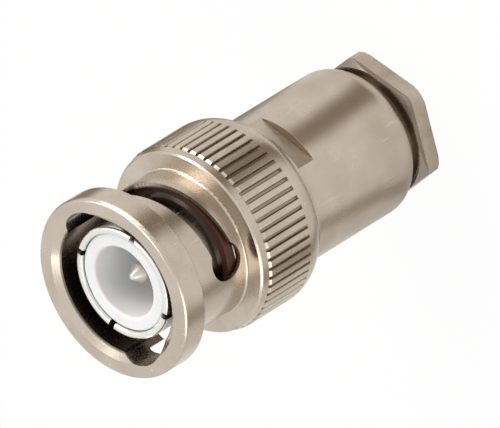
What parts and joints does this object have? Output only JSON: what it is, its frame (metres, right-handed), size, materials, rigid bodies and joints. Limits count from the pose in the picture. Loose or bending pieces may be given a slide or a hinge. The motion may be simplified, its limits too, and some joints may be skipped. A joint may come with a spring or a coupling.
{
  "type": "bayonet coaxial cable plug",
  "caption": "Clamp-type bayonet coaxial plug with knurled coupling nut, spring fingers, white insulator, centre pin and hex clamp nut.",
  "frame": {"origin": "centre of the clamp nut's rear face, on the plug's axis", "axes": "+Z along the plug's axis towards its mating end; +X through one bayonet entry groove"},
  "size_m": [0.0134, 0.0134, 0.0266],
  "materials": {
    "nickel": "nickel plated brass, turned, satin gloss",
    "contact_nickel": "nickel plated bronze spring fingers",
    "pin_silver": "plated pin, satin",
    "brass": "turned brass",
    "steel": "spring steel",
    "white_plastic": "white fluoropolymer, waxy",
    "red_silicone": "red silicone rubber",
    "black_rubber": "black rubber"
  },
  "bodies": {
    "plug": {"plug_body": "nickel", "outer_contact": "contact_nickel", "front_insulator": "white_plastic", "rear_insulator": "white_plastic", "centre_pin": "pin_silver", "front_gasket": "red_silicone", "wave_spring": "steel", "braid_clamp": "brass", "cable_gasket": "black_rubber"},
    "thrust_ring": {"thrust_washer": "steel"},
    "coupling": {"coupling_nut": "nickel", "coupling_retainer": "nickel"},
    "slip_ring": {"slip_washer": "brass"},
    "nut": {"clamp_nut": "nickel"}
  },
  "joints": [
    {"name": "coupling_slide", "type": "slide", "parent": "plug", "child": "thrust_ring", "axis": [0, 0, 1], "range_m": [0, 0.0008], "stiffness_N_per_m": 3000, "springref_m": -0.0004, "deforming": ["wave_spring"]},
    {"name": "coupling_spin", "type": "hinge", "parent": "thrust_ring", "child": "coupling", "pos_m": [0, 0, 0.0199], "axis": [0, 0, 1], "continuous": true},
    {"name": "nut_advance", "type": "slide", "parent": "plug", "child": "slip_ring", "axis": [0, 0, 1], "range_m": [-0.0022, 0.0006], "deforming": ["cable_gasket"]},
    {"name": "nut_turn", "type": "hinge", "parent": "slip_ring", "child": "nut", "pos_m": [0, 0, 0.002], "axis": [0, 0, 1], "range_deg": [-1058, 290]}
  ],
  "couplings": [
    {"joint": "nut_turn", "follows": "nut_advance", "rad_per_m": 8377.6}
  ]
}
